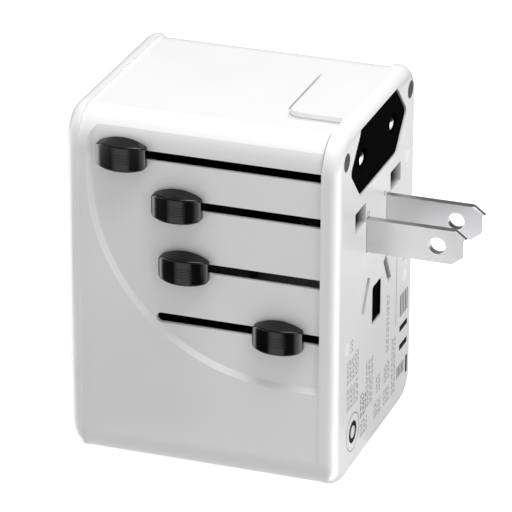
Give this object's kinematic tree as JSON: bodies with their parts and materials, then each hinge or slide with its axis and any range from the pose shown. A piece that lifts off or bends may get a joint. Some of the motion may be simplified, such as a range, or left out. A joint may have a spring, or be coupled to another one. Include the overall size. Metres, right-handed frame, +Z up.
{
  "type": "universal travel adapter",
  "caption": "Box-shaped white travel adapter with plug pins and blades that slide out of one face by knobs in side slots, a socket and USB ports on the other face.",
  "frame": {"origin": "middle of the flat bottom face of the casing, between the plug face and the socket face", "axes": "+X out of the plug face, +Z up, -Y towards the slider knobs"},
  "size_m": [0.0755, 0.0528, 0.0735],
  "materials": {
    "shell_white": "glossy white polycarbonate",
    "plug_black": "glossy black",
    "knob_black": "satin black with fine grip lines",
    "carriage_black": "moulded",
    "blade_nickel": "nickel plated brass, satin",
    "pin_chrome": "polished nickel plate",
    "cover_grey": "moulded",
    "plug_white": "glossy",
    "screw_steel": "zinc plated",
    "spring_steel": "drawn wire",
    "contact_brass": "stamped sheet",
    "shutter_grey": "moulded",
    "shelf_white": "moulded",
    "fuse_ceramic": "ceramic barrel with plated ends",
    "board_green": "solder mask",
    "port_steel": "nickel plated shell",
    "tongue_white": "moulded",
    "ferrite": "ferrite",
    "winding_tape": "yellow tape",
    "capacitor_sleeve": "shrink sleeve",
    "light_blue": "clear tinted light pipe"
  },
  "bodies": {
    "casing": {"front_cap": "shell_white", "main_sleeve": "shell_white", "rear_cap": "shell_white", "casing_screws": "screw_steel", "top_screw_covers": "cover_grey", "small_screw_plugs": "plug_white", "line_socket_contact": "contact_brass", "neutral_socket_contact": "contact_brass", "earth_socket_contact": "contact_brass", "line_bus_bar": "contact_brass", "neutral_bus_bar": "contact_brass", "cartridge_fuse": "fuse_ceramic", "fuse_clips": "contact_brass", "inner_shelf": "shelf_white", "usb_board": "board_green", "usb_port_shells": "port_steel", "usb_port_tongues": "tongue_white", "transformer_core": "ferrite", "transformer_winding": "winding_tape", "capacitors": "capacitor_sleeve", "power_light": "light_blue", "earth_pin_guide": "plug_black", "shutter_spring": "spring_steel"},
    "eu_block": {"eu_plug_block": "plug_black"},
    "eu_slider": {"eu_carriage": "carriage_black", "eu_pins": "pin_chrome", "eu_pin_sleeves": "plug_black", "eu_knob_spring": "spring_steel"},
    "eu_button": {"eu_knob": "knob_black"},
    "uk_slider": {"uk_carriage": "carriage_black", "uk_line_pins": "pin_chrome", "uk_pin_sleeves": "plug_black", "uk_earth_pin": "plug_black", "uk_knob_spring": "spring_steel"},
    "uk_button": {"uk_knob": "knob_black"},
    "au_slider": {"au_carriage": "carriage_black", "au_blades": "blade_nickel", "au_knob_spring": "spring_steel"},
    "au_button": {"au_knob": "knob_black"},
    "us_slider": {"us_carriage": "carriage_black", "us_blades": "blade_nickel", "us_knob_spring": "spring_steel"},
    "us_button": {"us_knob": "knob_black"},
    "shutter": {"safety_shutter": "shutter_grey"},
    "fuse_plug": {"fuse_cap": "shell_white"}
  },
  "joints": [
    {"name": "eu_block_slide", "type": "slide", "parent": "casing", "child": "eu_block", "axis": [1, 0, 0], "range_m": [0, 0.015]},
    {"name": "eu_pins_slide", "type": "slide", "parent": "eu_block", "child": "eu_slider", "axis": [1, 0, 0], "range_m": [0, 0.019]},
    {"name": "uk_slide", "type": "slide", "parent": "casing", "child": "uk_slider", "axis": [1, 0, 0], "range_m": [0, 0.0203]},
    {"name": "au_slide", "type": "slide", "parent": "casing", "child": "au_slider", "axis": [1, 0, 0], "range_m": [0, 0.0199]},
    {"name": "us_slide", "type": "slide", "parent": "casing", "child": "us_slider", "axis": [1, 0, 0], "range_m": [-0.0201, 0]},
    {"name": "eu_knob_press", "type": "slide", "parent": "eu_slider", "child": "eu_button", "axis": [0, 1, 0], "range_m": [0, 0.0007], "stiffness_N_per_m": 400, "springref_m": -0.002, "deforming": ["eu_knob_spring"]},
    {"name": "uk_knob_press", "type": "slide", "parent": "uk_slider", "child": "uk_button", "axis": [0, 1, 0], "range_m": [0, 0.0007], "stiffness_N_per_m": 400, "springref_m": -0.002, "deforming": ["uk_knob_spring"]},
    {"name": "au_knob_press", "type": "slide", "parent": "au_slider", "child": "au_button", "axis": [0, 1, 0], "range_m": [0, 0.0007], "stiffness_N_per_m": 400, "springref_m": -0.002, "deforming": ["au_knob_spring"]},
    {"name": "us_knob_press", "type": "slide", "parent": "us_slider", "child": "us_button", "axis": [0, 1, 0], "range_m": [0, 0.0007], "stiffness_N_per_m": 400, "springref_m": -0.002, "deforming": ["us_knob_spring"]},
    {"name": "shutter_slide", "type": "slide", "parent": "casing", "child": "shutter", "axis": [0, 0, 1], "range_m": [0, 0.0052], "stiffness_N_per_m": 100, "springref_m": -0.003, "deforming": ["shutter_spring"]},
    {"name": "fuse_cap_turn", "type": "hinge", "parent": "casing", "child": "fuse_plug", "pos_m": [-0.0278, 0.0189, 0.042], "axis": [1, 0, 0], "range_deg": [0, 90]}
  ]
}
